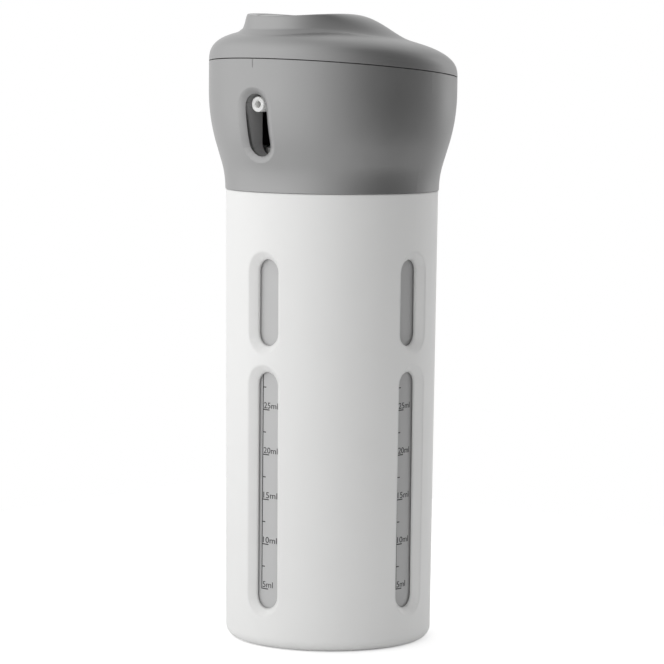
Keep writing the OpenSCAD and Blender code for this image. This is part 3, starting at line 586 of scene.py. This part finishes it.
# %% Lip, underside and collar
UNDERSIDE_STEPS = 12
for radius, drop in ((LIP_R, -SEAM_GAP), (LIP_R, LIP_H), (LIP_R - LIP_T, LIP_H)):
    ring = []
    for a in turns:
        x, y = head_ring(radius, a)
        ring.append(Vector((x, y, seam_at(y) - drop)))
    cap_rings.append(ring)
collar_r = HOLE_R + COLLAR_T
for i in range(UNDERSIDE_STEPS + 1):
    ring = []
    for a in turns:
        x, y = head_ring(LIP_R - LIP_T, a)
        x += (collar_r * math.cos(a) - x) * i / UNDERSIDE_STEPS
        y += (PAD_Y + collar_r * math.sin(a) - y) * i / UNDERSIDE_STEPS
        ring.append(Vector((x, y, dome_at(x, y) - CAP_WALL)))
    cap_rings.append(ring)
for radius in (collar_r, HOLE_R):
    cap_rings.append([Vector((radius * math.cos(a), PAD_Y + radius * math.sin(a), COLLAR_Z)) for a in turns])
print("rings in all:", len(cap_rings))

# %% The cap's piece
CAP_SHARP_DEG = 32
shape = bmesh.new()
loops = [[shape.verts.new(p * MM) for p in ring] for ring in cap_rings]
for low, high in zip(loops, loops[1:] + loops[:1]):
    for i in range(AROUND):
        j = (i + 1) % AROUND
        shape.faces.new((low[i], low[j], high[j], high[i]))
cap_mesh = finished_mesh(shape, "cap shell", CAP_SHARP_DEG)
cap_mesh.materials.append(grey_lacquer)
cap_piece = bpy.data.objects.new("cap_shell", cap_mesh)
scene.collection.objects.link(cap_piece)
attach(cap_piece, "head")
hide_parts("cap")
print("cap quads:", len(cap_mesh.polygons))

# %% [markdown]
# ## The return springs
# Under the button and round each pump's stem sits a compression spring, wound from stainless wire on a mandrel, with
# its end turns closed so that it stands flat. The engineering model keeps them at rest length. Here each one is drawn
# again as a round wire swept along its helix, and hung on its body in place of the model's spring.

# %% Coil
SPRING_TURNS = 7
CLOSED_TURNS = 1
# A closed turn lies on the next one with this pitch, in wire radii.
CLOSED_PITCH = 2.1
STEPS_PER_TURN = 30
WIRE_SIDES = 10
WIRE_SHARP_DEG = 50


def coil_mesh(name, centre, mean_r, wire_r, low, high):
    """A closed-end compression spring between two heights, all in mm."""
    closed_pitch = CLOSED_PITCH * wire_r
    open_pitch = (high - low - 2 * wire_r - 2 * CLOSED_TURNS * closed_pitch) / (SPRING_TURNS - 2 * CLOSED_TURNS)
    shape = bmesh.new()
    rings = []
    for i in range(SPRING_TURNS * STEPS_PER_TURN + 1):
        turn = i / STEPS_PER_TURN
        closed = min(turn, CLOSED_TURNS) + max(0.0, turn - SPRING_TURNS + CLOSED_TURNS)
        z = low + wire_r + closed * closed_pitch + (turn - closed) * open_pitch
        ring = []
        for j in range(WIRE_SIDES):
            q = math.tau * j / WIRE_SIDES
            r = mean_r + wire_r * math.cos(q)
            point = Vector((centre[0] + r * math.cos(math.tau * turn), centre[1] + r * math.sin(math.tau * turn),
                            z + wire_r * math.sin(q)))
            ring.append(shape.verts.new(point * MM))
        rings.append(ring)
    for a, b in zip(rings, rings[1:]):
        for j in range(WIRE_SIDES):
            k = (j + 1) % WIRE_SIDES
            shape.faces.new((a[j], a[k], b[k], b[j]))
    shape.faces.new(rings[0])
    shape.faces.new(rings[-1][::-1])
    return finished_mesh(shape, name, WIRE_SHARP_DEG)


print("spring steps:", SPRING_TURNS * STEPS_PER_TURN)

# %% Springs on their bodies
PUMP_AXIS_R = 14.0
# Mean radius, wire radius, lower and upper end.
PUMP_SPRING = (3.2, 0.35, 105.05, 123.25)
BUTTON_SPRING = (7.8, 0.45, 146.85, 165.25)
springs = [("button_coil", (0.0, PAD_Y), BUTTON_SPRING, "head", "press", "button_spring")]
for k in BOTTLES:
    a = math.radians(90 * (k - 1))
    springs.append((f"pump_coil_{k}", (PUMP_AXIS_R * math.sin(a), -PUMP_AXIS_R * math.cos(a)), PUMP_SPRING, "base",
                    f"pump_{k}_stroke", f"pump_spring_{k}"))
for name, centre, (mean_r, wire_r, low, high), body, joint, node in springs:
    coil = bpy.data.objects.new(name, coil_mesh(name, centre, mean_r, wire_r, low, high))
    scene.collection.objects.link(coil)
    coil.data.materials.append(spring_wire)
    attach(coil, body)
    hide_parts(node)
    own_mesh(coil)
print("springs:", [row[0] for row in springs])

# %% [markdown]
# ## The millilitre scale
# Each bottle carries a scale that is screen printed with dark ink: an upright line, a short tick every 2.5 ml and a
# figure that stands on a longer tick every 5 ml. Ink has a real, if tiny, thickness, so the marks are thin solids
# bent round the bottle, not a picture: they stay crisp at any zoom, and they need no texture.

# %% Printing ink
# Flat dark grey, a little duller than the bottle round it.
ink = moulded("screen-printed dark grey ink", "#3A3A3C", 0.5, 0.003)
BOTTLE_R = 25.3
INK_T = 0.03
# The ink reaches this far into the bottle, so that no gap shows.
INK_SUNK = -0.01
LINE_W = 0.27
BAR_SLICE = 0.5


def on_bottle(x, z, lift, k):
    """A point printed on bottle k: x along the curve, z up, lift above the surface, in mm."""
    a = math.radians(90 * (k - 1)) + x / BOTTLE_R
    r = BOTTLE_R + lift
    return Vector((r * math.sin(a), -r * math.cos(a), z))


def add_bar(shape, k, x0, x1, z0, z1):
    """A thin printed bar, in slices that follow the bottle's curve."""
    slices = max(1, math.ceil((x1 - x0) / BAR_SLICE))
    rows = []
    for i in range(slices + 1):
        x = x0 + (x1 - x0) * i / slices
        rows.append([shape.verts.new(on_bottle(x, z, lift, k) * MM)
                     for z, lift in ((z0, INK_SUNK), (z1, INK_SUNK), (z1, INK_T), (z0, INK_T))])
    for a, b in zip(rows, rows[1:]):
        for i in range(4):
            j = (i + 1) % 4
            shape.faces.new((a[i], a[j], b[j], b[i]))
    shape.faces.new(rows[0][::-1])
    shape.faces.new(rows[-1])


print("ink thickness in mm:", INK_T)

# %% [markdown]
# The figures come from a text object, turned into a mesh while it lies flat. Its points are then moved one by one to
# the bottle's curve, which is simpler than bending it with a modifier, and keeps each figure's height and width as
# measured on the photograph.

# %% Figures
TEXT_CURVE_STEPS = 4


def figure_mesh(text):
    """A line of text as a thin solid mesh, lying flat, from half a unit below to half a unit above zero."""
    curve = bpy.data.curves.new("figure", "FONT")
    curve.body = text
    curve.size = 1.0
    curve.extrude = 0.5
    curve.resolution_u = TEXT_CURVE_STEPS
    maker = bpy.data.objects.new("figure", curve)
    scene.collection.objects.link(maker)
    bpy.context.view_layer.update()
    mesh = bpy.data.meshes.new_from_object(maker.evaluated_get(bpy.context.evaluated_depsgraph_get()))
    bpy.data.objects.remove(maker)
    bpy.data.curves.remove(curve)
    return mesh


print("text drawn with", TEXT_CURVE_STEPS, "steps to a curve")

# %% Print the scales
SCALE_X = -2.43
LOW_MARK_Z = 15.47
STEP_ML = 5
STEP_MM = 12.02
MARKS = 11
LINE_PAST_TOP = 0.3
LONG_TICK = 2.3
SHORT_TICK = 1.1
FIGURE_IN = 0.35
FIGURE_UP = 0.5
FIGURE_H = 1.6
# The width of a whole figure, for one digit and for two.
FIGURE_W = {1: 3.55, 2: 4.75}
WELD = 0.001
for k in BOTTLES:
    shape = bmesh.new()
    line_top = LOW_MARK_Z + STEP_MM * (MARKS - 1) / 2 + LINE_PAST_TOP
    add_bar(shape, k, SCALE_X - LINE_W / 2, SCALE_X + LINE_W / 2, LOW_MARK_Z, line_top)
    for mark in range(MARKS):
        z = LOW_MARK_Z + mark * STEP_MM / 2
        long_mark = mark % 2 == 0
        add_bar(shape, k, SCALE_X + LINE_W / 2, SCALE_X + (LONG_TICK if long_mark else SHORT_TICK), z, z + LINE_W)
        if long_mark:
            digits = str(STEP_ML + STEP_ML * mark // 2)
            flat = figure_mesh(digits + "ml")
            xs = [v.co.x for v in flat.vertices]
            ys = [v.co.y for v in flat.vertices]
            wide = FIGURE_W[len(digits)] / (max(xs) - min(xs))
            tall = FIGURE_H / (max(ys) - min(ys))
            for v in flat.vertices:
                lift = INK_T if v.co.z > 0 else INK_SUNK
                v.co = on_bottle(SCALE_X + FIGURE_IN + (v.co.x - min(xs)) * wide,
                                 z + FIGURE_UP + (v.co.y - min(ys)) * tall, lift, k) * MM
            shape.from_mesh(flat)
            bpy.data.meshes.remove(flat)
    bmesh.ops.remove_doubles(shape, verts=shape.verts, dist=WELD * MM)
    bmesh.ops.triangulate(shape, faces=shape.faces)
    scale_mesh = finished_mesh(shape, f"printed scale {k}")
    scale_mesh.materials.append(ink)
    scale_piece = bpy.data.objects.new(f"printed_scale_{k}", scale_mesh)
    scene.collection.objects.link(scale_piece)
    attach(scale_piece, "base")
print("scale triangles each:", len(scale_mesh.polygons))
